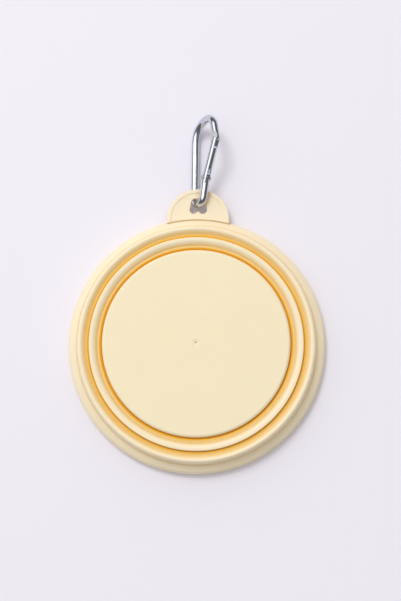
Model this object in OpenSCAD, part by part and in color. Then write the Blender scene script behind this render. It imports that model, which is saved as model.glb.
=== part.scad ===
// Collapsible travel bowl for pets, folded flat, with a snap hook in its tab.
// It lies on its mouth: z = 0 is the mouth plane, +Z goes through the outside of
// the base, the bowl's axis is the Z axis and the tab points along +Y.
// Lengths are in millimetres and angles in degrees.

/* [Rim] */
// Outer diameter of the hard rim
rim_d = 130; // [120:1:150]
// Height of the rim's ledge over the mouth plane
rim_h = 6.6; // [6:0.1:9]
// Thickness of the rim's outer wall
rim_wall_t = 2.4; // [1.6:0.1:3.4]
// Thickness of the rim's ledge
rim_ledge_t = 2.1; // [1.6:0.1:2.4]
// Width of the open ledge outside the soft collar
ledge_w = 4.4; // [3.6:0.1:6]
// How far the ledge reaches in under the soft collar
rim_grip_w = 1.7; // [1:0.1:2.2]
// Rounding of the rim's outer upper edge
rim_top_round = 2.6; // [1.5:0.1:2.8]
// Rounding of the rim's outer lower edge
rim_low_round = 1.2; // [0.4:0.1:1.6]

/* [Tab] */
// Width of the tab
tab_w = 32; // [28:1:40]
// How far the tab stands out from the rim
tab_reach = 15.4; // [14:0.1:18]
// Thickness of the tab's plate under its border
tab_t = 1.5; // [1.2:0.1:1.7]
// Width of the raised border of the tab
tab_border_w = 1.5; // [1:0.1:2.5]
// Height of the raised border over the plate
tab_border_h = 0.35; // [0.2:0.05:0.6]
// Land between the hole and the tip of the tab
tab_land_w = 5.0; // [4:0.1:6]
// Height of the hole, from its flat top to its lobes
hole_h = 7.9; // [7:0.1:9]
// Radius of the two lobes on the bowl's side of the hole
lobe_r = 1.95; // [1.6:0.05:2.2]
// Distance between the centres of the two lobes
lobe_gap = 5.0; // [4.4:0.1:6]
// Radius of the hole's two corners on the tip's side
hole_top_r = 2.0; // [1.5:0.1:2.4]
// Distance between the centres of those two corners
hole_top_gap = 3.4; // [2.6:0.1:4]
// Radius of the round nib between the lobes
hole_nib_r = 1.1; // [0.8:0.1:1.4]
// How far the nib stands up between the lobes
hole_nib_h = 1.1; // [0.6:0.1:1.4]

/* [Soft wall] */
// Height of the folded bowl
stack_h = 13; // [12:0.1:16]
// How far the soft crests lie below the base plate's face
crest_drop = 0.2; // [0:0.05:0.6]
// Draft of the collar's outer face from its foot to its crest
collar_draft = 1.3; // [0.8:0.1:2]
// Width of the collar's crest, with its lip
collar_w = 3.7; // [3.4:0.1:5]
// Width of the middle ring's crest, with its lip
middle_w = 4.1; // [3.6:0.1:5.4]
// Gap between one crest and the next
groove_w = 2.1; // [1.9:0.1:2.8]
// Wall thickness of the folding zones
fold_t = 0.9; // [0.7:0.05:1.1]
// Share of the groove's free width that the bend of a folding zone takes
fold_bend_share = 0.9; // [0.6:0.05:0.95]
// Draft of the inner walls from the crest to the mouth's side
wall_draft = 1.0; // [0.6:0.1:1.3]
// Draft of the rings' outer walls
ring_draft = 0.2; // [0.1:0.05:0.4]
// Height of the lips that the folding zones hang from
lip_h = 1.4; // [1.1:0.1:2]
// Share of a crest's width that slopes down towards the groove
shoulder_share = 0.6; // [0.45:0.05:0.65]
// How far that shoulder slopes down
lip_slope = 1.0; // [0.4:0.1:1.1]
// Height of the rings' toes that carry the folding zones
toe_h = 0.8; // [0.6:0.1:1.2]
// Clearance between a folding zone and the ring beside it
fold_gap = 0.3; // [0.2:0.05:0.4]
// Clearance between the rings' toes and the mouth plane
toe_lift = 0.8; // [0.5:0.1:1.4]

/* [Base] */
// Thickness of the hard base plate
plate_t = 1.8; // [1.4:0.1:2.4]
// Rounding of the base plate's outer edge
plate_round = 0.7; // [0.3:0.1:1]
// Wall thickness of the soft skirt under the plate
skirt_t = 2.4; // [2:0.1:3]
// Width of the rib that centres the plate in the skirt
rib_w = 1.6; // [1.2:0.1:2.2]
// Height of that rib
rib_h = 1.2; // [0.8:0.1:1.8]
// Clearance between the rib and the skirt
rib_gap = 0.1; // [0.05:0.05:0.2]
// Radius of the round gate mark in the middle of the plate
mark_r = 1.4; // [1:0.1:2]
// Depth of the gate mark
mark_depth = 0.25; // [0.15:0.05:0.4]

/* [Snap hook] */
// Diameter of the hook's wire
wire_d = 4; // [3.6:0.1:4.2]
// Angle between the hook's plane and the mouth plane
hook_lean = 55; // [53:1:57]
// Sideways place of the hook's straight back
hook_x = -2.1; // [-2.3:0.1:-2]
// Radius of the bend that goes through the tab, on the wire's centre line
bend_r = 4.2; // [4.1:0.05:4.5]
// Clearance between the bend and the land of the tab, along the hook
bend_gap = 0.9; // [0.7:0.05:1.1]
// Length of the hook's straight back
back_l = 28.8; // [27:0.1:34]
// Radius of the wide arc at the far end
crown_r = 10.9; // [10.6:0.1:12]
// Radius of the tighter arc that leads to the nose
nose_r = 6.7; // [6.4:0.1:7.4]
// Angle at which the nose leans out from the back
nose_lean = 16; // [12:1:19]
// Angle between the gate and the back
gate_lean = 24.7; // [23.5:0.1:26]
// Angle between the leg and the back
leg_lean = 12.5; // [10:0.5:15]
// Length of the straight leg from the bend to the gate's pivot
leg_l = 9.7; // [9:0.1:10.5]
// Thickness of the flattened tongues at both ends of the wire
tongue_t = 1.5; // [1.2:0.1:1.8]
// Length of the nose's flats beside the gate's end
nose_flat_l = 1.2; // [1:0.1:1.6]
// Radius of the milling cutter that makes the flats
cutter_r = 1.6; // [1.2:0.1:3]

/* [Gate] */
// Diameter of the gate's bar
gate_d = 4; // [3.6:0.1:4.2]
// Length of the gate from its pivot to its free end
gate_l = 21.4; // [20.8:0.1:22]
// How far the gate's ears reach past the pivot
ear_r = 2.85; // [2.6:0.05:3]
// Clearance on each side of a tongue in its slot
slot_gap = 0.2; // [0.15:0.05:0.3]
// Clearance between the ears and the shoulder of the leg
shoulder_gap = 0.2; // [0.15:0.05:0.4]
// Depth of the slot beside the pivot
pivot_slot_l = 4.8; // [4:0.1:5.4]
// Depth of the slot that takes the nose
nose_slot_l = 5.4; // [5:0.1:6.5]
// How far the nose reaches into its slot
nose_reach = 4.6; // [4.2:0.1:4.8]
// Distance of the catch pin from the gate's free end
catch_inset = 2.3; // [2:0.1:2.6]
// Radius of the catch pin
catch_r = 0.55; // [0.4:0.05:0.7]
// Clearance between the catch pin and the notch in the nose
catch_gap = 0.2; // [0.15:0.05:0.3]
// Width of the nose inside the gate's slot
nose_w = 3.2; // [2.8:0.1:3.6]
// Radius of the hinge rivet's shank
rivet_r = 0.7; // [0.5:0.05:0.9]
// Running clearance of the rivet in the tongue's bore
rivet_gap = 0.05; // [0.03:0.01:0.08]
// Radius of the rivet's heads
rivet_head_r = 1.15; // [1:0.05:1.4]
// Height of the rivet's heads
rivet_head_h = 0.65; // [0.4:0.05:0.8]
// Depth of the seats that the rivet's heads lie in
rivet_seat = 0.25; // [0.2:0.05:0.4]

/* [Gate spring] */
// Diameter of the spring's wire
spring_wire_d = 0.35; // [0.3:0.05:0.4]
// Mean radius of the spring's turns
spring_r = 0.68; // [0.6:0.02:0.7]
// Number of turns of the spring
spring_turns = 8; // [5:1:9]
// Length of the spring in the gate
spring_l = 7.8; // [7:0.1:9]
// Clearance between the spring and its bore
spring_gap = 0.15; // [0.1:0.05:0.2]

/* [Hidden] */

// Facets of round shapes, and steps of one rounded corner of an outline
$fn = 96;
ARC_STEPS = 6;
RING_SIDES = 6;
RINGS_PER_TURN = 10;

// Overrun of every cut
over = 1;
// Small roundings of the soft parts' edges
crest_round = 1.1;
lip_round = 0.35;
shoulder_round = 2;
mouth_round = 0.8;
ring_round = 0.5;
edge_round = 0.3;

// Radii of the rim and of the soft wall, from the outside in
rim_r = rim_d / 2;
collar_foot_r = rim_r - ledge_w;
collar_top_r = collar_foot_r - collar_draft;
rim_in_r = collar_foot_r - rim_grip_w;
mouth_r = rim_r - rim_wall_t;
collar_lip_r = collar_top_r - collar_w;
collar_in_r = collar_lip_r + fold_t;
middle_r = collar_lip_r - groove_w;
middle_lip_r = middle_r - middle_w;
middle_in_r = middle_lip_r + fold_t;
base_r = middle_lip_r - groove_w;
skirt_in_r = base_r - skirt_t;
toe_w = fold_gap + fold_t;
fold_bend_r = fold_bend_share * (groove_w - ring_draft - fold_gap);

// Levels of the soft wall
crest_z = stack_h - crest_drop;
lip_z = crest_z - lip_h;
toe_z = toe_lift + toe_h;
ledge_under_z = rim_h - rim_ledge_t;
plate_z = stack_h - plate_t;

// Tab and its hole
tab_under_z = ledge_under_z;
tab_top_z = tab_under_z + tab_t;
tab_tip = rim_r + tab_reach;
tab_round = tab_w / 2;
tab_centre = tab_tip - tab_round;
hole_top = tab_tip - tab_land_w;
hole_foot = hole_top - hole_h;
hole_top_c = hole_top - hole_top_r;
lobe_c = hole_foot + lobe_r;

// Snap hook: its own plane is XY, the back runs along Y and the gate is on the X side
wire_r = wire_d / 2;
hook_z = wire_r;
bend_v = hole_top - bend_gap + bend_r - wire_r;
crown_v = bend_v + back_l;
nose_v = crown_v + crown_r - nose_r;
leg_start = [bend_r + bend_r * cos(leg_lean), bend_v - bend_r * sin(leg_lean)];
pivot = leg_start + leg_l * [sin(leg_lean), cos(leg_lean)];
gate_end = pivot + gate_l * [sin(gate_lean), cos(gate_lean)];
nose_start = [crown_r + nose_r * cos(nose_lean), nose_v + nose_r * sin(nose_lean)];
nose_vec = gate_end - nose_start;
nose_l = norm(nose_vec);
nose_turn = atan2(nose_vec.x, nose_vec.y);
slot_t = tongue_t + 2 * slot_gap;
gate_r = gate_d / 2;
tongue_r = min(wire_r, gate_r);
shoulder_r = ear_r + shoulder_gap;
catch_y = gate_l - catch_inset;
bore_r = spring_r + spring_wire_d / 2 + spring_gap;
spring_start = tongue_r + spring_wire_d;
bore_end = spring_start + spring_l + spring_wire_d;
head_z = gate_r - rivet_seat;
// A straight end of the wire is a hair thinner than its bend and laps into it
wire_step = 0.02;
wire_lap = 0.2;

// Outline helpers

function unit(v) = v / norm(v);

// One corner of an outline, rounded by an arc of radius r
function corner(a, b, c, r) =
    let (
        p = unit(a - b),
        q = unit(c - b),
        half = acos(p * q) / 2,
        mid = b + unit(p + q) * r / sin(half),
        from = b + p * r / tan(half) - mid,
        to = b + q * r / tan(half) - mid,
        start = atan2(from.y, from.x),
        turn = sign(cross(from, to)) * (180 - 2 * half)
    )
    r == 0 ? [b] : [for (i = [0:ARC_STEPS])
        let (angle = start + turn * i / ARC_STEPS)
        mid + r * [cos(angle), sin(angle)]];

// An outline from corners given as [x, y, radius]
function rounded(list) =
    let (n = len(list), flat = [for (p = list) [p.x, p.y]])
    [for (i = [0:n - 1]) each corner(flat[(i + n - 1) % n], flat[i], flat[(i + 1) % n], list[i].z)];

// Section of a folding zone that leaves a lip, bends down and stands on a toe
function fold_section(lip_r, toe_r) = rounded([
    [lip_r, lip_z, 0],
    [toe_r, lip_z, fold_bend_r],
    [toe_r, toe_z, 0],
    [toe_r + fold_t, toe_z, 0],
    [toe_r + fold_t, lip_z - fold_t, max(fold_bend_r - fold_t, 0)],
    [lip_r + fold_t, lip_z - fold_t, fold_t / 2],
    [lip_r + fold_t, lip_z, 0]
]);

// Outer face, toe and foot of a nesting ring, from its top down
function ring_outside(top_r, top_z, top_round) = [
    [top_r, top_z, top_round],
    [top_r + ring_draft, toe_z, 0],
    [top_r + ring_draft + toe_w, toe_z, 0],
    [top_r + ring_draft + toe_w, toe_lift, edge_round]
];

// Lip and shoulder at the inside of a crest of width w, from its underside up
function lip(lip_r, w) = [
    [lip_r + fold_t, lip_z, 0],
    [lip_r, lip_z, 0],
    [lip_r, crest_z - lip_slope, lip_round],
    [lip_r + shoulder_share * w, crest_z, shoulder_round]
];

module turned(outline) rotate_extrude() polygon(outline);

// Placement of the hook's plane, and of the gate's own frame in it
module in_hook() translate([hook_x, 0, hook_z]) rotate([0, -hook_lean, 0]) children();

module in_gate() translate([pivot.x, pivot.y, 0]) rotate([0, 0, -gate_lean]) children();

module in_leg() translate([pivot.x, pivot.y, 0]) rotate([0, 0, -leg_lean]) children();

module in_nose() translate([nose_start.x, nose_start.y, 0]) rotate([0, 0, -nose_turn]) children();

// A round bar along +Y
module bar(r, from, to) translate([0, from, 0]) rotate([-90, 0, 0]) cylinder(r = r, h = to - from);

// A bend of the wire in the hook's plane
module bend(centre, r, from, turn)
    translate([centre.x, centre.y, 0]) rotate([0, 0, from])
        rotate_extrude(angle = turn) translate([r, 0]) circle(r = wire_r);

// Outline of the tab, shrunk on all sides
module tab_outline(inset) {
    translate([0, tab_centre]) circle(r = tab_round - inset);
    translate([-(tab_round - inset), rim_r - rim_wall_t])
        square([tab_w - 2 * inset, tab_centre - rim_r + rim_wall_t]);
}

// The lobed hole for the hook
module tab_hole() {
    side = [(lobe_gap - hole_top_gap) / 2, lobe_c - hole_top_c];
    tilt = atan2(side.x, -side.y) + asin((lobe_r - hole_top_r) / norm(side));
    normal = [cos(tilt), sin(tilt)];
    top = [hole_top_gap / 2, hole_top_c];
    foot = [lobe_gap / 2, lobe_c];
    difference() {
        union() {
            for (flip = [-1, 1]) {
                translate([flip * top.x, top.y]) circle(r = hole_top_r);
                translate([flip * foot.x, foot.y]) circle(r = lobe_r);
            }
            polygon([
                top + hole_top_r * normal,
                foot + lobe_r * normal,
                [foot.x, hole_foot],
                [-foot.x, hole_foot],
                [-foot.x - lobe_r * normal.x, foot.y + lobe_r * normal.y],
                [-top.x - hole_top_r * normal.x, top.y + hole_top_r * normal.y],
                [-top.x, hole_top],
                [top.x, hole_top]
            ]);
        }
        translate([0, hole_foot + hole_nib_h - hole_nib_r]) circle(r = hole_nib_r);
        translate([0, hole_foot - hole_nib_r]) square([2 * hole_nib_r, 2 * hole_nib_h], center = true);
    }
}

// Hard rim with its tab
module rim() color("#F6E8C4") {
    turned(rounded([
        [rim_in_r, rim_h, 0],
        [rim_in_r, ledge_under_z, 0],
        [mouth_r, ledge_under_z, 0],
        [mouth_r, 0, 0],
        [rim_r, 0, rim_low_round],
        [rim_r, rim_h, rim_top_round]
    ]));
    difference() {
        translate([0, 0, tab_under_z]) linear_extrude(tab_t + tab_border_h) tab_outline(0);
        translate([0, 0, tab_top_z]) linear_extrude(tab_border_h + over) difference() {
            tab_outline(tab_border_w);
            circle(r = rim_r - rim_top_round);
        }
        translate([0, 0, tab_under_z - over]) linear_extrude(rim_h + over) tab_hole();
        translate([0, 0, tab_under_z - over]) cylinder(r = mouth_r + edge_round, h = rim_h + over);
    }
}

// Soft collar moulded onto the rim, with the bowl's mouth and the outer crest
module wall_collar() color("#FAEBC8")
    turned(rounded(concat(
        [
            [collar_in_r + wall_draft, 0, mouth_round],
            [mouth_r, 0, 0],
            [mouth_r, ledge_under_z, 0],
            [rim_in_r, ledge_under_z, 0],
            [rim_in_r, rim_h, 0],
            [collar_foot_r, rim_h, 0],
            [collar_top_r, crest_z, crest_round]
        ],
        [for (i = [3:-1:0]) lip(collar_lip_r, collar_w)[i]]
    )));

// Folding zone between the collar's lip and the middle ring's toe
module outer_fold() color("#E2A04A")
    turned(fold_section(collar_lip_r, middle_r + ring_draft + fold_gap));

// Middle ring of the soft wall
module middle_ring() color("#FAEBC8")
    turned(rounded(concat(
        ring_outside(middle_r, crest_z, ring_round),
        [[middle_in_r + wall_draft, toe_lift, edge_round]],
        lip(middle_lip_r, middle_w)
    )));

// Folding zone between the middle ring's lip and the base skirt's toe
module inner_fold() color("#E2A04A")
    turned(fold_section(middle_lip_r, base_r + ring_draft + fold_gap));

// Soft skirt under the base plate
module base_skirt() color("#F4E2B4")
    turned(rounded(concat(
        ring_outside(base_r, plate_z, 0),
        [
            [skirt_in_r + ring_draft, toe_lift, edge_round],
            [skirt_in_r, plate_z, 0]
        ]
    )));

// Hard base plate, with its centring rib and the mark of its moulding gate
module base_plate() color("#F4E5C4")
    turned(rounded([
        [0, stack_h - mark_depth / 2, 0],
        [mark_r / 2, stack_h - mark_depth, 0],
        [mark_r, stack_h, 0],
        [base_r, stack_h, plate_round],
        [base_r, plate_z, 0],
        [skirt_in_r - rib_gap, plate_z, 0],
        [skirt_in_r - rib_gap, plate_z - rib_h, edge_round],
        [skirt_in_r - rib_gap - rib_w, plate_z - rib_h, edge_round],
        [skirt_in_r - rib_gap - rib_w, plate_z, 0],
        [0, plate_z, 0]
    ]));

// The same shape above and below the hook's plane
module both_sides() {
    children();
    mirror([0, 0, 1]) children();
}

// Milling cut from y = 0 on that leaves the wire's middle as a flat tongue, with the cutter's round run-out
module flat_cut()
    rotate([90, 0, 90]) translate([0, 0, -nose_l]) linear_extrude(2 * nose_l) polygon(rounded([
        [-cutter_r, tongue_t / 2, cutter_r],
        [nose_l, tongue_t / 2, 0],
        [nose_l, tongue_t / 2 + wire_d, 0],
        [-cutter_r, tongue_t / 2 + wire_d, 0]
    ]));

// Bent wire of the snap hook, with a tongue for the gate's pivot and a notched nose
module carabiner_frame() color("#C9CBD0") in_hook() difference() {
    union() {
        bar(wire_r, bend_v, crown_v);
        bend([bend_r, bend_v], bend_r, 180, 180 - leg_lean);
        in_leg() bar(wire_r - wire_step, -leg_l - wire_lap, 0);
        in_gate() cylinder(r = tongue_r, h = tongue_t, center = true);
        bend([crown_r, crown_v], crown_r, 90, 90);
        nose();
    }
    // Shoulder round the gate's ears, above and below the pivot's tongue
    in_gate() both_sides() translate([0, 0, tongue_t / 2]) cylinder(r = shoulder_r, h = wire_d);
    // Bore of the hinge rivet
    in_gate() cylinder(r = rivet_r + rivet_gap, h = wire_d, center = true);
}

// Tighter arc and nose, milled flat and notched for the catch pin
module nose() difference() {
    union() {
        bend([crown_r, nose_v], nose_r, 90, nose_lean - 90);
        in_nose() bar(wire_r - wire_step, -wire_lap, nose_l);
        translate([gate_end.x, gate_end.y, 0]) sphere(r = wire_r);
        in_gate() translate([-nose_w / 2, gate_l - nose_reach, -tongue_t / 2])
            cube([nose_w, nose_reach, tongue_t]);
    }
    in_nose() translate([0, nose_l - nose_flat_l, 0]) both_sides() flat_cut();
    in_gate() translate([0, catch_y, 0]) cylinder(r = catch_r + catch_gap, h = wire_d, center = true);
    in_gate() translate([-nose_w, catch_y - catch_r - catch_gap, -wire_d / 2])
        cube([nose_w, 2 * (catch_r + catch_gap), wire_d]);
}

// Gate: a round bar, slotted at both ends and bored for its spring
module gate() color("#D3D5DA") in_hook() in_gate() difference() {
    union() {
        bar(gate_r, 0, gate_l);
        intersection() {
            bar(gate_r, -ear_r, over);
            cylinder(r = ear_r, h = gate_d, center = true);
        }
    }
    translate([-gate_d, -ear_r - over, -slot_t / 2]) cube([2 * gate_d, ear_r + over + pivot_slot_l, slot_t]);
    translate([-gate_d, gate_l - nose_slot_l, -slot_t / 2]) cube([2 * gate_d, nose_slot_l + over, slot_t]);
    bar(bore_r, tongue_r, bore_end);
    cylinder(r = rivet_r, h = gate_d + over, center = true);
    translate([0, catch_y, 0]) cylinder(r = catch_r, h = gate_d + over, center = true);
    both_sides() translate([0, 0, head_z]) cylinder(r = rivet_head_r + slot_gap, h = over);
}

// Rivet that the gate turns on
module hinge_rivet() color("#B9BBC0") in_hook() in_gate() turned(rounded([
    [0, -head_z - rivet_head_h, 0],
    [rivet_head_r, -head_z - rivet_head_h, edge_round],
    [rivet_head_r, -head_z, 0],
    [rivet_r, -head_z, 0],
    [rivet_r, head_z, 0],
    [rivet_head_r, head_z, 0],
    [rivet_head_r, head_z + rivet_head_h, edge_round],
    [0, head_z + rivet_head_h, 0]
]));

// Pin across the gate's nose slot that the nose hooks over
module catch_pin() color("#B9BBC0") in_hook() in_gate()
    translate([0, catch_y, 0]) cylinder(r = catch_r, h = gate_d - rivet_seat, center = true);

// Points of one ring of the spring's wire, at share t of its length
function spring_ring(t) =
    let (a = 360 * spring_turns * t, out = [cos(a), 0, sin(a)])
    [for (k = [0:RING_SIDES - 1])
        let (b = 360 * k / RING_SIDES)
        [0, spring_start + spring_l * t, 0] + out * spring_r
            + spring_wire_d / 2 * (cos(b) * out + sin(b) * [0, 1, 0])];

// Least gap between the spring's turns, measured from ring to ring
function spring_least_gap() =
    let (
        rings = spring_turns * RINGS_PER_TURN,
        centres = [for (i = [0:rings])
            let (a = 360 * spring_turns * i / rings)
            [spring_r * cos(a), spring_l * i / rings, spring_r * sin(a)]]
    )
    min([for (i = [0:rings - 1], j = [i + RINGS_PER_TURN / 2:rings]) norm(centres[i] - centres[j])])
    - spring_wire_d;

// Compression spring in the gate, pushing on the pivot's tongue
module gate_spring() color("#8E9096") in_hook() in_gate() {
    rings = spring_turns * RINGS_PER_TURN;
    points = [for (i = [0:rings]) each spring_ring(i / rings)];
    sides = [for (i = [0:rings - 1], k = [0:RING_SIDES - 1])
        let (
            a = i * RING_SIDES + k,
            b = i * RING_SIDES + (k + 1) % RING_SIDES
        )
        each [[a, b + RING_SIDES, b], [a, a + RING_SIDES, b + RING_SIDES]]];
    caps = [for (k = [1:RING_SIDES - 2])
        each [[0, k, k + 1], [rings * RING_SIDES, rings * RING_SIDES + k + 1, rings * RING_SIDES + k]]];
    echo(spring_least_gap = spring_least_gap());
    polyhedron(points, concat(sides, caps));
}

rim();
wall_collar();
outer_fold();
middle_ring();
inner_fold();
base_skirt();
base_plate();
carabiner_frame();
gate();
hinge_rivet();
catch_pin();
gate_spring();
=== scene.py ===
# %% [markdown]
# # A collapsible pet bowl with a snap hook
# The bowl is pressed flat and lies on its mouth, so the camera looks at the outside of its base. It is a
# hard rim with a tab, a soft rubber wall that folds into rings, a hard base plate, and a steel snap hook
# through the tab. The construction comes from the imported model. It is loaded as a fixed frame, and each
# piece is dressed around it.

import bmesh
import bpy
import math
from mathutils import Matrix, Vector


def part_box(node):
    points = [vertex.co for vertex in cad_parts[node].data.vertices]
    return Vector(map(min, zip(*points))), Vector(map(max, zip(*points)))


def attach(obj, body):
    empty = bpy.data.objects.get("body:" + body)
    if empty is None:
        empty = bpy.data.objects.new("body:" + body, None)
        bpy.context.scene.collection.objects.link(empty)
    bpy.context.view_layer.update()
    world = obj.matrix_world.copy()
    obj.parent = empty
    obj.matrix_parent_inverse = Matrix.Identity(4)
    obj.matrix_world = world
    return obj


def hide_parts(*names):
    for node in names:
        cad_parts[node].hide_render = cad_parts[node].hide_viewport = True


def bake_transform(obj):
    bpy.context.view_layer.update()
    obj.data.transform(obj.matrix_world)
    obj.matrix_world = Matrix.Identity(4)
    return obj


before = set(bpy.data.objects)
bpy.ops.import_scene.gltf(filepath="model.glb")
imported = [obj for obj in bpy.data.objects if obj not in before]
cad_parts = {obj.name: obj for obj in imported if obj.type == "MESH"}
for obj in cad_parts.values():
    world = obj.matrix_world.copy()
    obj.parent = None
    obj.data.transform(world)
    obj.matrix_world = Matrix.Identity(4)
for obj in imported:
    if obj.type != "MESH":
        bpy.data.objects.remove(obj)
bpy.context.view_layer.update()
MM = 0.001


# %% [markdown]
# ## Sizes
# The frame's boxes give the large sizes, so the looks follow the construction when it changes. A moulding
# also has small radii and steps that no box shows. They are named in millimetres, in the cell that first
# needs them. Heights are measured from the mouth's plane, on which the folded bowl lies.

# %% Sizes from the frame
def low(node):
    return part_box(node)[0] / MM


def high(node):
    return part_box(node)[1] / MM


# The rim with its tab, and the collar, which reaches from the mouth up to the crest of the folded wall.
rim_r = high("rim").x
rim_h = high("rim").z
tab_tip = high("rim").y
mouth_r = high("wall_collar").x
crest_z = high("wall_collar").z

# A fold hangs between a lip and a toe. A ring's inside is as wide as the fold that it holds.
lip_z = high("outer_fold").z
toe_z = low("outer_fold").z
collar_in_r = high("outer_fold").x
middle_in_r = high("inner_fold").x

# The toes' underside stands off the floor by toe_lift, and the plate lies on the skirt.
toe_lift = low("middle_ring").z
middle_toe_r = high("middle_ring").x
base_r = high("base_plate").x
plate_under_z = high("base_skirt").z
stack_h = high("base_plate").z
print(f"rim {2 * rim_r:.1f} mm, base {2 * base_r:.1f} mm, folded height {stack_h:.1f} mm")

# %% [markdown]
# ## One function adds a node
# Shader trees and geometry trees are built in the same way: a kind of node, values or links for its inputs,
# and settings. An input that is given a socket is linked, and any other value is set.


# %% Node helper
def add(tree, kind, inputs=None, **settings):
    node = tree.nodes.new(kind)
    for name, value in settings.items():
        setattr(node, name, value)
    for key, value in (inputs or {}).items():
        socket = node.inputs[key]
        if isinstance(value, bpy.types.NodeSocket):
            tree.links.new(value, socket)
        else:
            socket.default_value = value
    return node


# %% [markdown]
# ## Colours, scales and the frame of a material
# Colours are written as they look on a screen, and a shader works in linear light, so one function turns
# them. A noise texture is scaled by its spots' size in millimetres, which can be compared with the real
# surface.


# %% Colour and material helpers
def linear(hex_colour):
    """The linear colour of an sRGB hex value."""
    def channel(pair):
        c = int(pair, 16) / 255
        return c / 12.92 if c <= 0.04045 else ((c + 0.055) / 1.055) ** 2.4
    return tuple(channel(hex_colour[i:i + 2]) for i in (1, 3, 5)) + (1.0,)


def per_metre(size_mm):
    """Scale of a noise whose spots are about size_mm across."""
    return 1 / (size_mm * MM)


def new_material(name):
    material = bpy.data.materials.new(name)
    material.use_nodes = True
    material.node_tree.nodes.clear()
    return material, material.node_tree


def finish_material(material, shader):
    """Links the shader to the output, which ends the tree."""
    add(material.node_tree, "ShaderNodeOutputMaterial", {"Surface": shader.outputs["BSDF"]})
    print(material.name, len(material.node_tree.nodes), "nodes")
    return material


print(f"mid grey is {linear('#808080')[0]:.2f} in linear light")


# %% [markdown]
# ## Painted amber shade in the grooves
# Light goes a little way into cream plastic. What comes back out of a narrow groove has met the pigment many
# times, so it turns amber there and never black. Tracing that would take very many bounces, so the amber
# shade is painted into the colour. The Ambient Occlusion node is a quick stand-in: it gives 1 in the open
# and less where the surroundings hide a point, and that sets how much painted amber shade is mixed in. The
# most closed in places take a yet deeper painted shade. Three limits keep the painted shade in the grooves,
# also when the
# bowl is popped open: a radius, a height in the folded bowl that each turned piece stores as an attribute,
# and the share of the sky that a point sees, which is small beside a tall open wall.

# %% Painted groove shade
# How far the two measures of openness look, in millimetres, and with how many rays.
groove_reach = 4.0
wall_reach = 12.0
shade_samples = 8

# A limit fades in over twice limit_blur, in millimetres, or over sky_blur, a share of the sky.
limit_blur = 0.5
sky_blur = 0.15

# The deepest painted shade stands alone under the first openness, and the deep one over the second.
deepest_under = 0.4
deep_over = 0.7

# A radius or height limit that every point meets, and the attribute with the height in the folded bowl.
EVERYWHERE = -1.0
REST_HEIGHT = "rest_height"
without_height = (1, 1, 0)


def limited(tree, share, measure, none_until, full_from):
    """Lets a share through where a measure is large enough, with a soft edge."""
    mask = add(tree, "ShaderNodeMapRange", {
        "Value": measure, "From Min": none_until, "From Max": full_from}, interpolation_type="SMOOTHSTEP")
    product = add(tree, "ShaderNodeMath", {0: share, 1: mask.outputs["Result"]}, operation="MULTIPLY")
    return product.outputs["Value"]


def with_painted_shade(tree, place, open_shade, deepest, deep, full_under, none_over,
           from_r=EVERYWHERE, from_z=EVERYWHERE, sky_share=0.0):
    """The open colour, and the painted amber shades where the piece is closed in and all three limits allow
    them.
    """
    near, wide = [add(tree, "ShaderNodeAmbientOcclusion", {"Distance": reach * MM},
                      samples=shade_samples).outputs["AO"] for reach in (groove_reach, wall_reach)]
    across = add(tree, "ShaderNodeVectorMath", {0: place, 1: without_height}, operation="MULTIPLY")
    radius = add(tree, "ShaderNodeVectorMath", {0: across.outputs["Vector"]}, operation="LENGTH")
    height = add(tree, "ShaderNodeAttribute", attribute_name=REST_HEIGHT)
    share = add(tree, "ShaderNodeMapRange", {
        "Value": near, "From Min": full_under, "From Max": none_over, "To Min": 1.0, "To Max": 0.0},
        interpolation_type="SMOOTHSTEP").outputs["Result"]
    for measure, limit in ((radius.outputs["Value"], from_r), (height.outputs["Fac"], from_z)):
        share = limited(tree, share, measure, (limit - limit_blur) * MM, (limit + limit_blur) * MM)
    share = limited(tree, share, wide, sky_share - sky_blur, sky_share)
    depth = add(tree, "ShaderNodeMapRange", {
        "Value": near, "From Min": deepest_under, "From Max": deep_over}, interpolation_type="SMOOTHSTEP")
    # Painted shade: amber that stands in for light bounced many times inside a groove.
    painted_amber_shade = add(tree, "ShaderNodeMix", {
        "Factor": depth.outputs["Result"], "A": linear(deepest), "B": linear(deep)}, data_type="RGBA")
    shade = add(tree, "ShaderNodeMix", {
        "Factor": share, "A": open_shade, "B": painted_amber_shade.outputs["Result"]}, data_type="RGBA")
    return shade.outputs["Result"]


# %% [markdown]
# ## Polypropylene and rubber
# The rim, the tab and the base plate are injection-moulded polypropylene, and the folding wall is
# thermoplastic elastomer, a soft rubber that is moulded onto both. One flat colour would do for each, but a
# real moulding is never quite even. All have the same warm cream pigment, so one function makes them: clouds
# in the pigment, a gloss that handling has made uneven, the fine grain of the mould, a little light under
# the surface, and amber shade painted into the grooves. They differ in shade, roughness, grain and index of
# refraction.

# %% Moulded material
# The width of the pigment's clouds and of the traces of handling.
cloud_mm = 30
handling_mm = 6

# A noise seldom leaves this range, over which handling takes the roughness down or up.
noise_low = 0.3
noise_high = 0.7
polished_by = 0.05
dulled_by = 0.07

# The share of light that goes under the surface, its depth, and how much of that depth each colour goes.
glow_share = 0.1
glow_mm = 1.0
glow_red_green_blue = (1.0, 0.5, 0.2)


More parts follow.
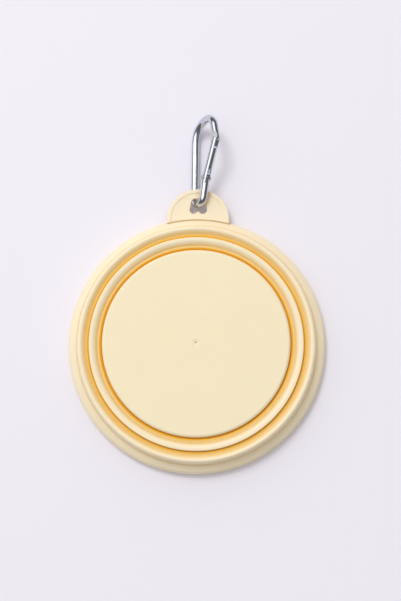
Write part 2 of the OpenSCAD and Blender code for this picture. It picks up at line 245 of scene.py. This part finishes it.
def moulded(name, colour, pale, roughness, grain_mm, grain_height_mm, ior, groove):
    material, tree = new_material(name)
    place = add(tree, "ShaderNodeTexCoord").outputs["Object"]
    clouds = add(tree, "ShaderNodeTexNoise", {"Vector": place, "Scale": per_metre(cloud_mm), "Detail": 3.0})
    open_shade = add(tree, "ShaderNodeMix", {
        "Factor": clouds.outputs["Fac"], "A": linear(colour), "B": linear(pale)}, data_type="RGBA")
    handling = add(tree, "ShaderNodeTexNoise", {
        "Vector": place, "Scale": per_metre(handling_mm), "Detail": 5.0})
    gloss = add(tree, "ShaderNodeMapRange", {
        "Value": handling.outputs["Fac"], "From Min": noise_low, "From Max": noise_high,
        "To Min": roughness - polished_by, "To Max": roughness + dulled_by})
    grain = add(tree, "ShaderNodeTexNoise", {"Vector": place, "Scale": per_metre(grain_mm), "Detail": 2.0})
    bump = add(tree, "ShaderNodeBump", {
        "Height": grain.outputs["Fac"], "Distance": grain_height_mm * MM, "Strength": 1.0})
    # The base colour carries the amber shade that is painted into closed-in grooves.
    shader = add(tree, "ShaderNodeBsdfPrincipled", {
        "Base Color": with_painted_shade(tree, place, open_shade.outputs["Result"], **groove),
        "Roughness": gloss.outputs["Result"], "IOR": ior, "Normal": bump.outputs["Normal"],
        "Subsurface Weight": glow_share, "Subsurface Scale": glow_mm * MM,
        "Subsurface Radius": glow_red_green_blue})
    return finish_material(material, shader)


# %% Rim and plate plastics
# Painted shades: amber for the grooves and tan for the rim's steps stand in for light bounced off the cream.
DEEPEST_PAINTED_SHADE = "#F3AB12"
PAINTED_GROOVE_SHADE = "#ECB31B"
PAINTED_STEP_SHADE = "#E9CF9E"

# Satin polypropylene has a wide, quiet highlight. The rim has no deep groove, so its steps only get a
# painted tan shade.
rim_plastic = moulded(
    "satin_cream_polypropylene", "#F4E3C2", "#F6E7CA", roughness=0.42, grain_mm=0.5, grain_height_mm=0.004,
    ior=1.49, groove={"deepest": PAINTED_STEP_SHADE, "deep": PAINTED_STEP_SHADE, "full_under": 0.4, "none_over": 0.95})

# The plate's mould was eroded to a fine grain, which dulls the highlight. Only its edge meets a groove and
# gets painted amber shade there, and the pit of the gate mark stays cream.
plate_edge_from_r = 42.0
plate_plastic = moulded(
    "fine_grained_cream_polypropylene", "#F4E5C0", "#F7E8C6", roughness=0.5, grain_mm=0.25,
    grain_height_mm=0.006, ior=1.49,
    groove={"deepest": DEEPEST_PAINTED_SHADE, "deep": PAINTED_GROOVE_SHADE, "full_under": 0.6, "none_over": 0.9,
            "from_r": plate_edge_from_r})

# %% Wall rubbers
# The elastomer looks drier than the plastic, with hardly any highlight. Its rings get painted amber shade in
# the grooves' upper part, and none beside an open fold, which hides more than a fifth of the sky.
ring_painted_shade_from_z = 10.0
wall_rubber = moulded(
    "cream_thermoplastic_elastomer", "#F7E5C0", "#F9E9C9", roughness=0.55, grain_mm=0.35,
    grain_height_mm=0.004, ior=1.5,
    groove={"deepest": DEEPEST_PAINTED_SHADE, "deep": PAINTED_GROOVE_SHADE, "full_under": 0.82, "none_over": 0.98,
            "from_z": ring_painted_shade_from_z, "sky_share": 0.8})

# The thin fold lets more light through, so its cream is painted warmer. Its painted amber shade stays close
# to the lip.
fold_painted_shade_h = 1.2
fold_rubber = moulded(
    "thin_cream_elastomer", "#F8DFAC", "#F9E2B4", roughness=0.55, grain_mm=0.35, grain_height_mm=0.004,
    ior=1.5,
    groove={"deepest": DEEPEST_PAINTED_SHADE, "deep": PAINTED_GROOVE_SHADE, "full_under": 0.85, "none_over": 0.98,
            "from_z": lip_z - fold_painted_shade_h})

# %% [markdown]
# ## Nickel plate and steel
# The hook is bent from round steel wire and nickel-plated. Tumbling leaves it bright but not a mirror: it is
# gently dented, and the dents break its reflections into streaks. Its milled edges are broken by a hair,
# which the Bevel node gives in the shading, so the exact solids of the construction can stay as they are.

# %% Metal
# Faint stains darken the colour and take the roughness from the first share of its value to the second.
stain_mm = 2.5
brightest = 0.7
dullest = 1.4

# The radius that the milled edges seem to have.
worn_edge_mm = 0.12
edge_samples = 4


def metal(name, colour, dark, roughness, dent_mm, dent_height_mm):
    material, tree = new_material(name)
    place = add(tree, "ShaderNodeTexCoord").outputs["Object"]
    stain = add(tree, "ShaderNodeTexNoise", {"Vector": place, "Scale": per_metre(stain_mm), "Detail": 4.0})
    shade = add(tree, "ShaderNodeMix", {
        "Factor": stain.outputs["Fac"], "A": linear(colour), "B": linear(dark)}, data_type="RGBA")
    gloss = add(tree, "ShaderNodeMapRange", {
        "Value": stain.outputs["Fac"], "From Min": noise_low, "From Max": noise_high,
        "To Min": roughness * brightest, "To Max": roughness * dullest})
    dents = add(tree, "ShaderNodeTexNoise", {"Vector": place, "Scale": per_metre(dent_mm), "Detail": 2.0})
    worn_edge = add(tree, "ShaderNodeBevel", {"Radius": worn_edge_mm * MM}, samples=edge_samples)
    bump = add(tree, "ShaderNodeBump", {
        "Height": dents.outputs["Fac"], "Distance": dent_height_mm * MM, "Strength": 1.0,
        "Normal": worn_edge.outputs["Normal"]})
    shader = add(tree, "ShaderNodeBsdfPrincipled", {
        "Base Color": shade.outputs["Result"], "Metallic": 1.0, "Roughness": gloss.outputs["Result"],
        "Normal": bump.outputs["Normal"]})
    return finish_material(material, shader)


# %% Hook metals
# Plated wire is bright and faintly blue, with wide shallow dents.
nickel = metal("bright_nickel_plate", "#DDE1E8", "#C6CBD4", roughness=0.09, dent_mm=3.0, dent_height_mm=0.03)

# Bare drawn pins are duller and a little warmer.
pin_steel = metal("drawn_pin_steel", "#C4C3BF", "#A9A8A4", roughness=0.28, dent_mm=1.0, dent_height_mm=0.01)

# Spring wire keeps a grey film from its heat treatment.
spring_steel = metal("drawn_spring_wire", "#9C9B98", "#7F7E7B", roughness=0.3, dent_mm=0.6,
                     dent_height_mm=0.01)

# %% [markdown]
# ## Outlines of turned mouldings
# Everything but the tab and the hook is round about the bowl's axis, so a piece is one outline in radius and
# height. A Bevel modifier could round its corners, with one width for all of them. Here each corner is
# given with its own radius, and the function below lays the arc in.


# %% Rounded outline
def rounded(corners, step_degrees=9):
    """Points of a closed outline from corners given as (radius, height, rounding), in millimetres."""
    points = []
    for i, (x, y, r) in enumerate(corners):
        here = Vector((x, y))
        if r == 0:
            points.append(here)
            continue
        before = (Vector(corners[i - 1][:2]) - here).normalized()
        after = (Vector(corners[(i + 1) % len(corners)][:2]) - here).normalized()
        half = before.angle(after) / 2
        centre = here + (before + after).normalized() * r / math.sin(half)
        start = here + before * r / math.tan(half) - centre
        sweep = start.angle_signed(here + after * r / math.tan(half) - centre)
        steps = max(2, round(math.degrees(abs(sweep)) / step_degrees))
        for k in range(steps + 1):
            points.append(centre + Matrix.Rotation(-sweep * k / steps, 2) @ start)
    return points


square = [(0, 0, 1), (4, 0, 1), (4, 4, 1), (0, 4, 1)]
print("a square with round corners has", len(rounded(square)), "points")


# %% [markdown]
# ## Geometry Nodes trees
# Two shapes here follow a rule, a lathe and a coil, and each gets a tree with named inputs. Both begin with
# their inputs and end in the same steps: smooth shading, real geometry in place of instances, and the
# finish. The result is then kept as a plain mesh, so that nothing is left to work out when the bowl moves.


# %% Start, end and use of a tree
def geometry_tree(name, inputs):
    """An empty tree with an input for each label and kind, and one output for the shape."""
    tree = bpy.data.node_groups.new(name, "GeometryNodeTree")
    for label, kind in inputs.items():
        tree.interface.new_socket(label, in_out="INPUT", socket_type="NodeSocket" + kind)
    tree.interface.new_socket("Shape", in_out="OUTPUT", socket_type="NodeSocketGeometry")
    return tree, add(tree, "NodeGroupInput").outputs


def finish_tree(tree, mesh, finish):
    """Ends a tree with smooth shading, real geometry and the finish."""
    smooth = add(tree, "GeometryNodeSetShadeSmooth", {"Geometry": mesh})
    real = add(tree, "GeometryNodeRealizeInstances", {"Geometry": smooth.outputs["Geometry"]})
    dressed = add(tree, "GeometryNodeSetMaterial", {
        "Geometry": real.outputs["Geometry"], "Material": finish})
    add(tree, "NodeGroupOutput", {"Shape": dressed.outputs["Geometry"]})
    print(tree.name, "tree:", len(tree.nodes), "nodes")
    return tree


def new_piece(name, data):
    piece = bpy.data.objects.new(name, data)
    bpy.context.scene.collection.objects.link(piece)
    return piece


def plain_mesh(piece):
    """What the piece's modifiers and settings give, as a new mesh."""
    bpy.context.view_layer.update()
    return bpy.data.meshes.new_from_object(piece.evaluated_get(bpy.context.evaluated_depsgraph_get()))


def keep_result(piece):
    """Makes what the modifiers give the piece's own mesh, and removes them."""
    made = plain_mesh(piece)
    piece.modifiers.clear()
    piece.data = made


def apply_tree(piece, tree, values):
    """Runs a geometry tree on a piece with its inputs given by label, and keeps the result."""
    modifier = piece.modifiers.new(tree.name, "NODES")
    modifier.node_group = tree
    for item in tree.interface.items_tree:
        if item.name in values:
            modifier[item.identifier] = values[item.name]
    keep_result(piece)


# %% [markdown]
# ## The lathe
# A lathe sweeps one section round a circle. A Screw modifier could do that in one go. The tree does it in
# steps that can be seen and changed: it takes the outline as its own mesh, turns it into a curve and sweeps
# it with Curve to Mesh. The path is a real circle of a given radius, so the outline is drawn as far in as
# that radius, and points on the axis meet in one pole.

# %% Lathe tree
pole_gap = 0.001
lathe, given = geometry_tree("lathe", {
    "Outline": "Geometry", "Steps round": "Int", "Path radius": "Float", "Finish": "Material"})
circle = add(lathe, "GeometryNodeCurvePrimitiveCircle", {
    "Resolution": given["Steps round"], "Radius": given["Path radius"]})
upright = add(lathe, "GeometryNodeSetCurveNormal", {"Curve": circle.outputs["Curve"]}, mode="Z_UP")
section = add(lathe, "GeometryNodeMeshToCurve", {"Mesh": given["Outline"]})
swept = add(lathe, "GeometryNodeCurveToMesh", {
    "Curve": upright.outputs["Curve"], "Profile Curve": section.outputs["Curve"]})
closed = add(lathe, "GeometryNodeMergeByDistance", {
    "Geometry": swept.outputs["Mesh"], "Distance": pole_gap * MM})
finish_tree(lathe, closed.outputs["Geometry"], given["Finish"])

# %% Turned pieces
# The path carries each outline this far out, and has this many steps.
path_r = 10.0
steps_round = 288


def flat_faces_rule(piece):
    """Large faces rule the shading of the small arcs beside them, as on a real moulding."""
    weighted = piece.modifiers.new("weighted", "WEIGHTED_NORMAL")
    weighted.keep_sharp = True
    keep_result(piece)


def turned(name, outline, finish):
    """A ring or a plate from its outline. It stores each point's height in the folded bowl."""
    doubled_area = sum(outline[i - 1].x * p.y - p.x * outline[i - 1].y for i, p in enumerate(outline))
    # An outline that runs anticlockwise would have its faces point inwards, so it is turned round.
    if doubled_area > 0:
        outline = outline[::-1]
    count = len(outline)
    mesh = bpy.data.meshes.new(name)
    mesh.from_pydata([((p.x - path_r) * MM, -p.y * MM, 0) for p in outline],
                     [(i, (i + 1) % count) for i in range(count)], [])
    piece = new_piece(name, mesh)
    apply_tree(piece, lathe, {"Steps round": steps_round, "Path radius": path_r * MM, "Finish": finish})
    heights = piece.data.attributes.new(REST_HEIGHT, "FLOAT", "POINT")
    heights.data.foreach_set("value", [v.co.z for v in piece.data.vertices])
    flat_faces_rule(piece)
    print(name, len(piece.data.polygons), "faces")
    return piece


def seat(piece, body, node):
    """The piece moves with its body and stands for its CAD node."""
    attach(piece, body)
    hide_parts(node)


# %% [markdown]
# ## The soft collar
# The collar is the outermost ring of the bellows. Its foot is moulded round the rim's ledge, its outer face
# leans in a little so that it leaves the mould, and its crest falls in a soft shoulder to the lip where the
# wall folds. It could be bent from a flat strip, but a turned section keeps each of these as a size.

# %% Sizes of the collar
# The rim shows a width of ledge_w outside the collar, and the rubber laps grip_w over its ledge.
ledge_w = 4.4
ledge_t = 2.1
grip_w = 1.7
collar_foot_r = rim_r - ledge_w
rim_in_r = collar_foot_r - grip_w
ledge_under_z = rim_h - ledge_t

# The collar's outside leans in toward the crest, and its inside leans out toward the mouth.
collar_draft = 1.3
inner_draft = 1.0
mouth_round = 0.8
crest_round = 1.1
collar_top_r = collar_foot_r - collar_draft

# The lip is as thin as a fold and ends lower than the crest. The shoulder covers a share of the way.
fold_t = 0.9
lip_drop = 1.3
lip_round = 0.35
shoulder_share = 0.6
shoulder_round = 2.0
collar_lip_r = collar_in_r - fold_t
print(f"the collar leans in from radius {collar_foot_r:.1f} to {collar_top_r:.1f} mm")


# %% Collar
def lip(lip_r, crest_r):
    """The thin lip that a fold hangs on, and the shoulder that rises from it to a ring's crest."""
    shoulder_r = lip_r + shoulder_share * (crest_r - lip_r)
    return [(lip_r + fold_t, lip_z, 0), (lip_r, lip_z, 0), (lip_r, crest_z - lip_drop, lip_round),
            (shoulder_r, crest_z, shoulder_round)]


collar = turned("collar_rubber", rounded([
    (collar_in_r + inner_draft, 0, mouth_round), (mouth_r, 0, 0), (mouth_r, ledge_under_z, 0),
    (rim_in_r, ledge_under_z, 0), (rim_in_r, rim_h, 0), (collar_foot_r, rim_h, 0),
    (collar_top_r, crest_z, crest_round)] + lip(collar_lip_r, collar_top_r)[::-1]), wall_rubber)
seat(collar, "rim", "wall_collar")

# %% [markdown]
# ## Middle ring and base skirt
# The two inner rings are upright walls with a toe at the mouth's side. The next folding zone stands on the
# toe, so the rings nest in one another when the bowl is pressed flat. The outer groove is a fine line on the
# real bowl, so the middle ring ends in a small bead close to the fold, and its own lip stands back a little
# for the wider one.

# %% Sizes of the nesting rings
# A ring leans out by its draft down to its toe, which is a fold and a gap wide.
ring_draft = 0.2
fold_gap = 0.3
toe_w = fold_gap + fold_t
toe_round = 0.3
middle_r = middle_toe_r - toe_w - ring_draft

# The middle ring has a bead round its top, which falls back to the ring, and a lip that stands back.
bead_w = 0.45
bead_h = 2.2
bead_fall = 2 * bead_w
bead_round = 0.7
bead_foot_round = 0.3
lip_back = 0.35
middle_lip_r = middle_in_r - fold_t + lip_back

# The base skirt is one thick wall.
skirt_t = 2.4
skirt_in_r = base_r - skirt_t
print(f"the middle ring is {middle_r - middle_lip_r:.1f} mm wide at its top")


# %% Nesting rings
def ring_outside(top_r, top_z, top_round):
    """A ring's outer face, leaning out by its draft, and the toe at its foot."""
    foot_r = top_r + ring_draft
    return [(top_r, top_z, top_round), (foot_r, toe_z, 0), (foot_r + toe_w, toe_z, 0),
            (foot_r + toe_w, toe_lift, toe_round)]


bead_foot_z = crest_z - bead_h
middle = turned("middle_ring_rubber", rounded(
    [(middle_r + bead_w, crest_z, bead_round), (middle_r + bead_w, bead_foot_z, bead_foot_round)]
    + ring_outside(middle_r, bead_foot_z - bead_fall, bead_foot_round)
    + [(middle_in_r + inner_draft, toe_lift, toe_round)] + lip(middle_lip_r, middle_r)), wall_rubber)
seat(middle, "middle", "middle_ring")

skirt = turned("base_skirt_rubber", rounded(
    ring_outside(base_r, plate_under_z, 0)
    + [(skirt_in_r + ring_draft, toe_lift, toe_round), (skirt_in_r, plate_under_z, 0)]), wall_rubber)
seat(skirt, "base", "base_skirt")

# %% [markdown]
# ## Folding zones
# Between two rings the wall is thin. It rolls over from the lip, leans on the next ring and runs down to its
# toe. When the bowl pops open, a zone turns inside out. Bones or shape keys could do that, but the frame
# moves whole bodies. Here each zone is laid in place with its transform baked into its mesh. Its foot
# reaches a hair into the toe, because two faces in one plane would fight for the same pixels.

# %% Sizes of the folds
# A fold leans on the next ring for a stretch of lean_h, with a hair of air between them.
lean_gap = 0.08
lean_h = 3 * fold_t
bend_round = 0.5

# Its foot stands a little off the ring's face and reaches into the toe.
foot_gap = 0.04
toe_in = 0.05

# The inner fold rolls over in a wider bend, which shows as a wider groove.
outer_roll_r = 0.7
inner_roll_r = 1.5
print(f"a fold is {fold_t} mm thick and leans over {lean_h:.1f} mm")


# %% Folds
def fold_outline(lip_r, ring_r, bead, roll_r):
    """Over from the lip of one ring, against the next ring or its bead, and down to the toe."""
    near_r = ring_r + bead + lean_gap
    foot_in_r = ring_r + ring_draft + foot_gap
    foot_out_r = ring_r + ring_draft + toe_w - toe_in
    foot_z = toe_z - toe_in
    return rounded([
        (lip_r, lip_z, 0), (near_r, lip_z, roll_r), (near_r, lip_z - lean_h, bend_round),
        (foot_in_r, foot_z, 0), (foot_out_r, foot_z, 0), (foot_out_r, lip_z - fold_t, bend_round),
        (lip_r + fold_t, lip_z - fold_t, fold_t / 2), (lip_r + fold_t, lip_z, 0)])


def folding_zone(name, outline, node):
    """A fold in thin rubber, with its place baked into its mesh, that stands for its CAD node."""
    zone = turned(name, outline, fold_rubber)
    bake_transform(zone)
    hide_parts(node)


folding_zone("outer_fold_rubber", fold_outline(collar_lip_r, middle_r, bead_w, outer_roll_r),
             "outer_fold")
folding_zone("inner_fold_rubber", fold_outline(middle_lip_r, base_r, 0, inner_roll_r),
             "inner_fold")

# %% [markdown]
# ## Base plate
# The hard plate closes the bowl and is its foot when it stands open. A rib under it centres it in the skirt.
# In its middle is the mark of the moulding gate: a shallow dish with a tiny pit where the sprue broke off.
# All of it is round, so one outline from the axis to the edge is enough, and the mark needs no texture.

# %% Plate
# The rib under the plate stands in the skirt with a gap.
plate_round = 1.5
rib_gap = 0.1
rib_w = 1.6
rib_h = 1.2
rib_round = 0.3
rib_r = skirt_in_r - rib_gap
rib_in_r = rib_r - rib_w
rib_foot_z = plate_under_z - rib_h

# The gate mark's dish has a sloping side, and the pit in it is upright.
dish_r = 1.5
dish_depth = 0.2
dish_foot_round = 0.3
dish_edge_round = 0.2
dish_z = stack_h - dish_depth
pit_r = 0.55
pit_depth = 1.1
pit_round = 0.1
pit_z = stack_h - pit_depth
plate = turned("base_plate_polypropylene", rounded([
    (0, pit_z, 0), (pit_r, pit_z, pit_round), (pit_r, dish_z, pit_round), (dish_r, dish_z, dish_foot_round),
    (dish_r + dish_depth, stack_h, dish_edge_round), (base_r, stack_h, plate_round),
    (base_r, plate_under_z, 0), (rib_r, plate_under_z, 0), (rib_r, rib_foot_z, rib_round),
    (rib_in_r, rib_foot_z, rib_round), (rib_in_r, plate_under_z, 0), (0, plate_under_z, 0)]),
    plate_plastic)
seat(plate, "base", "base_plate")

# %% [markdown]
# ## Rim and tab
# The tab is a flat moulding with rounded edges and a lobed hole for the hook. A mould's cutter leaves arcs,
# so the tab is drawn as an outline of arcs, and a raised border follows its edge.

# %% Sizes of the tab
tab_r = 16.0
tab_centre = tab_tip - tab_r
tab_t = 1.5

# The tab's root follows the rim's step, which is step_w inside the rim's edge, with a gap between them.
step_w = 0.9
root_gap = 0.3
step_r = rim_r - step_w
root_r = step_r + root_gap

# The border is a raised band along the tab's edge.
border_w = 2.3
border_h = 0.25
border_round = 0.6
print(f"the tab is {2 * tab_r:.0f} mm wide and its root has the radius {root_r:.1f} mm")


# %% Tab outline
def arc(x, y, r, start, end, steps=12):
    """Points of an arc in the tab's plane, from the angle start to the angle end in degrees."""
    turns = [math.radians(start + (end - start) * i / steps) for i in range(steps + 1)]
    return [(x + r * math.cos(t), y + r * math.sin(t)) for t in turns]


def tab_side(inset):
    """Points from one root corner of the tab round its tip to the other one."""
    r = tab_r - inset
    root_y = math.sqrt(root_r ** 2 - r ** 2)
    return [(r, root_y)] + arc(0, tab_centre, r, 0, 180, steps=72) + [(-r, root_y)]


root_turn = math.degrees(math.acos(tab_r / root_r))
tab_outline = tab_side(0) + arc(0, 0, root_r, 180 - root_turn, root_turn, steps=24)[1:-1]
print(f"the tab has {len(tab_outline)} points")

# %% [markdown]
# ## The hole
# The hole has two lobes at the bowl's side, a rounded top where the hook hangs, and a nib between the lobes.
# Its straight sides touch a lobe's arc and a top arc, so their tilt follows from the two centres and radii.

# %% Hole outline
# The land is the plastic between the hole and the tab's tip. Lobes and top arcs are given by their radii
# and their distances from the middle.
land_w = 5.0
hole_h = 7.9
lobe_r = 1.95
lobe_x = 2.5
top_r = 2.0
top_x = 1.7
nib_r = 1.1
top_y = tab_tip - land_w - top_r
hole_foot_y = tab_tip - land_w - hole_h
lobe_y = hole_foot_y + lobe_r

# A positive tilt leans a side outwards toward its lobe.
side = Vector((lobe_x - top_x, top_y - lobe_y))
tilt = math.degrees(math.atan2(side.x, side.y) - math.asin((top_r - lobe_r) / side.length))
hole_outline = (arc(top_x, top_y, top_r, 90, tilt) + arc(lobe_x, lobe_y, lobe_r, tilt, -90)
                + arc(0, hole_foot_y, nib_r, 0, 180) + arc(-lobe_x, lobe_y, lobe_r, 270, 180 - tilt)
                + arc(-top_x, top_y, top_r, 180 - tilt, 90))
print(f"the hole has {len(hole_outline)} points, and its sides tilt by {tilt:.1f} degrees")

# %% [markdown]
# ## From outlines to one moulding
# A filled 2D curve with a small bevel gives a flat piece its thickness and its soft edges. Boolean unions do
# what the mould does: they join the rim, the tab, its border and the web at its root into one piece.

# %% Solids from outlines
weld_gap = 0.002


def flat_solid(name, outlines, low_z, high_z, bevel):
    """A plate between two heights with rounded edges. An outline inside another one is a hole."""
    curve = bpy.data.curves.new(name, "CURVE")
    curve.dimensions = "2D"
    curve.fill_mode = "BOTH"
    curve.extrude = ((high_z - low_z) / 2 - bevel) * MM
    curve.bevel_depth = bevel * MM
    curve.offset = -bevel * MM
    curve.bevel_resolution = 3
    for outline in outlines:
        spline = curve.splines.new("POLY")
        spline.points.add(len(outline) - 1)
        for point, (x, y) in zip(spline.points, outline):
            point.co = (x * MM, y * MM, 0, 1)
        spline.use_cyclic_u = True
    drawn = new_piece(name, curve)
    mesh = plain_mesh(drawn)
    bpy.data.objects.remove(drawn)
    mesh.transform(Matrix.Translation((0, 0, (low_z + high_z) / 2 * MM)))
    mended = bmesh.new()
    mended.from_mesh(mesh)
    bmesh.ops.remove_doubles(mended, verts=mended.verts, dist=weld_gap * MM)
    bmesh.ops.recalc_face_normals(mended, faces=mended.faces)
    mended.to_mesh(mesh)
    mended.free()
    mesh.shade_smooth()
    return new_piece(name, mesh)


def joined(base, *others):
    """Boolean union of solids into the first one, which keeps its name and finish."""
    for other in others:
        union = base.modifiers.new("union", "BOOLEAN")
        union.operation = "UNION"
        union.solver = "EXACT"
        union.object = other
        keep_result(base)
        bpy.data.objects.remove(other)
    return base


# %% [markdown]
# ## Rim
# Seen from above, the rim has two bands: a flat slope beside the collar, and a lower band behind a small
# step that ends in the round edge. They catch the light differently, so each gets its own corners in the
# outline. The tab's top starts a little outside the step, so that the rim's edge runs on past it, and a
# thinner web under that gap holds the tab to the rim.

# %% Sizes of the rim
# The top is level for level_w beside the collar and slopes down to the step's upper edge. The lower band
# runs from the step's foot to the round edge.
level_w = 0.8
level_round = 1.2
step_top_z = 5.4
step_top_round = 0.5
step_foot_z = 4.8
step_foot_round = 0.15
edge_z = 4.2
edge_round = 1.3

# The web lies lower than the step's upper edge and reaches into the rim and into the tab.
web_drop = 0.2
web_reach = 2.0
web_x = tab_r - root_gap
web_top_z = step_top_z - web_drop
tab_top_z = ledge_under_z + tab_t
tab_edge_round = 0.3
print(f"the web is {web_top_z - ledge_under_z:.1f} mm thick, the tab {tab_t} mm")

# %% Rim
border = tab_side(0) + tab_side(border_w)[::-1]
web = [(web_x, mouth_r - web_reach), (web_x, tab_centre + web_reach),
       (-web_x, tab_centre + web_reach), (-web_x, mouth_r - web_reach)]
rim = joined(
    turned("rim_polypropylene", rounded([
        (rim_in_r, rim_h, 0), (rim_in_r, ledge_under_z, 0), (mouth_r, ledge_under_z, 0), (mouth_r, 0, 0),
        (rim_r, 0, mouth_round), (rim_r, edge_z, edge_round), (step_r, step_foot_z, step_foot_round),
        (step_r, step_top_z, step_top_round), (collar_foot_r + level_w, rim_h, level_round)]),
        rim_plastic),
    flat_solid("web", [web], ledge_under_z, web_top_z, tab_edge_round),
    flat_solid("tab", [tab_outline, hole_outline], ledge_under_z, tab_top_z, tab_edge_round),
    flat_solid("border", [border], ledge_under_z, tab_top_z + border_h, border_round))
rim.data.materials.clear()
rim.data.materials.append(rim_plastic)
flat_faces_rule(rim)
seat(rim, "rim", "rim")
print("rim with its tab", len(rim.data.polygons), "faces")

# %% [markdown]
# ## Snap hook
# The hook's wire, gate, rivet and catch pin come from the construction, where each is an exact solid with
# its milled slots. Modelling them again would only lose that, so they are shown as they are and get their
# metals.

# %% Hook
hook_finishes = {"carabiner_frame": nickel, "gate": nickel, "hinge_rivet": pin_steel, "catch_pin": pin_steel}
for name, finish in hook_finishes.items():
    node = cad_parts[name]
    node.data.materials.clear()
    node.data.materials.append(finish)
    print(name, "in", finish.name)

# %% [markdown]
# ## Gate spring
# A compression spring sits in the gate's bore and presses on the flat end of the wire's tongue. It could be
# drawn point by point, but a coil is a rule: the tree winds it from a turn count, a radius and a length, and
# it is then laid along the gate.

# %% Coil tree
points_a_turn = 24
wire_points = 12
coil, given = geometry_tree("coil", {
    "Geometry": "Geometry", "Turns": "Float", "Mean radius": "Float", "Length": "Float",
    "Wire radius": "Float", "Finish": "Material"})
spiral = add(coil, "GeometryNodeCurveSpiral", {
    "Resolution": points_a_turn, "Rotations": given["Turns"], "Start Radius": given["Mean radius"],
    "End Radius": given["Mean radius"], "Height": given["Length"]})
wire = add(coil, "GeometryNodeCurvePrimitiveCircle", {
    "Resolution": wire_points, "Radius": given["Wire radius"]})
swept = add(coil, "GeometryNodeCurveToMesh", {
    "Curve": spiral.outputs["Curve"], "Profile Curve": wire.outputs["Curve"], "Fill Caps": True})
finish_tree(coil, swept.outputs["Mesh"], given["Finish"])

# %% Spring
# The hook's plane leans off the floor's, and the gate leans within the hook's plane.
hook_lean = math.radians(55)
gate_lean = math.radians(24.7)

# The spring starts this far from the gate's pivot.
spring_start = 2.35
spring_l = 7.8
spring_turns = 8.0
spring_r = 0.68
spring_wire_r = 0.175
pivot = (low("hinge_rivet") + high("hinge_rivet")) / 2
hook_across = Vector((math.cos(hook_lean), 0, math.sin(hook_lean)))
along = math.sin(gate_lean) * hook_across + math.cos(gate_lean) * Vector((0, 1, 0))
spring = new_piece("gate_spring_wire", bpy.data.meshes.new("gate_spring_wire"))
apply_tree(spring, coil, {
    "Turns": spring_turns, "Mean radius": spring_r * MM, "Length": spring_l * MM,
    "Wire radius": spring_wire_r * MM, "Finish": spring_steel})
spring.data.transform(Matrix.Translation((pivot + spring_start * along) * MM)
                      @ along.to_track_quat("Z", "X").to_matrix().to_4x4())
seat(spring, "gate", "gate_spring")
print("spring", len(spring.data.polygons), "faces")

# %% [markdown]
# ## Floor
# The bowl lies on a matt, pale lavender card. The card is wide enough to fill the picture, and it is only a
# stage, so it is one plain face.

# %% Floor
floor_half = 3.0
card, card_tree = new_material("pale_lavender_card")
finish_material(card, add(card_tree, "ShaderNodeBsdfPrincipled", {
    "Base Color": linear("#F0ECF5"), "Roughness": 0.6}))
floor_mesh = bpy.data.meshes.new("floor")
floor_corners = [(x * floor_half, y * floor_half, 0) for x, y in ((-1, -1), (1, -1), (1, 1), (-1, 1))]
floor_mesh.from_pydata(floor_corners, [], [(0, 1, 2, 3)])
floor_mesh.materials.append(card)
floor = new_piece("floor", floor_mesh)
print(f"the card is {2 * floor_half:.0f} m wide")

# %% [markdown]
# ## Light
# The photograph's shadow is soft and falls to the lower right, so one large lamp stands high at the upper
# left. The sky fills in from the same side. Shiny wire shows what stands round it, so mirror-like rays meet
# another sky: one bright panel above in a dim room, which gives the hook its light and dark streaks. The
# camera would see neither, but an even near-white, if the floor ended in the picture.


# %% Lamp
def soft_lamp(name, place, size, power):
    """A round lamp that looks at the bowl. Its size in metres sets how soft the shadow is."""
    lamp = bpy.data.lights.new(name, "AREA")
    lamp.shape = "DISK"
    lamp.size = size
    lamp.energy = power
    holder = bpy.data.objects.new(name, lamp)
    holder.location = place
    holder.rotation_euler = (Vector((0, 0, 0)) - Vector(place)).to_track_quat("-Z", "Y").to_euler()
    bpy.context.scene.collection.objects.link(holder)
    print(f"{name} lamp at {Vector(place).length:.1f} m")


soft_lamp("key", place=(-1.01, 1.56, 2.86), size=1.3, power=35.0)


# %% Sky
def glow(tree, way, toward, start, full, dim, bright, change):
    """A brightness that grows from dim to bright as a ray turns toward one side."""
    facing = add(tree, "ShaderNodeVectorMath", {0: way, 1: toward}, operation="DOT_PRODUCT")
    return add(tree, "ShaderNodeMapRange", {
        "Value": facing.outputs["Value"], "From Min": start, "From Max": full, "To Min": dim,
        "To Max": bright}, interpolation_type=change).outputs["Result"]


near_white = 0.85
world = bpy.data.worlds.new("studio")
bpy.context.scene.world = world
world.use_nodes = True
sky = world.node_tree
sky.nodes.clear()
way = add(sky, "ShaderNodeTexCoord").outputs["Generated"]
room = glow(sky, way, toward=(-0.45, 0.8, 0.35), start=-0.8, full=1.0, dim=0.27, bright=1.07,
            change="LINEAR")
panel = glow(sky, way, toward=(-0.4, 0.2, 0.89), start=0.66, full=0.94, dim=0.15, bright=1.9,
             change="SMOOTHSTEP")
rays = add(sky, "ShaderNodeLightPath")
lit = add(sky, "ShaderNodeMix", {"Factor": rays.outputs["Is Glossy Ray"], "A": room, "B": panel})
seen = add(sky, "ShaderNodeMix", {
    "Factor": rays.outputs["Is Camera Ray"], "A": lit.outputs["Result"], "B": near_white})
background = add(sky, "ShaderNodeBackground", {"Color": (1, 1, 1, 1), "Strength": seen.outputs["Result"]})
add(sky, "ShaderNodeOutputWorld", {"Surface": background.outputs["Background"]})
print("sky", len(sky.nodes), "nodes")

# %% [markdown]
# ## Camera
# It looks down from the bowl's lower side and a little from the right. Its lens and place could be set by
# eye. They were fitted instead to the rim's and the disc's outlines and the tab's tip in the photograph.

# %% Camera
camera = bpy.data.cameras.new("camera")
camera.sensor_width = 36
camera.lens = 70.387
eye = bpy.data.objects.new("camera", camera)
eye.location = (0.01916, -0.07038, 0.59547)
eye.rotation_euler = (0.15629, 0.02730, 0.01389)
bpy.context.scene.collection.objects.link(eye)
bpy.context.scene.camera = eye
bpy.context.scene.view_settings.view_transform = "Standard"
print(f"the camera stands {eye.location.length:.3f} m from the bowl's middle")
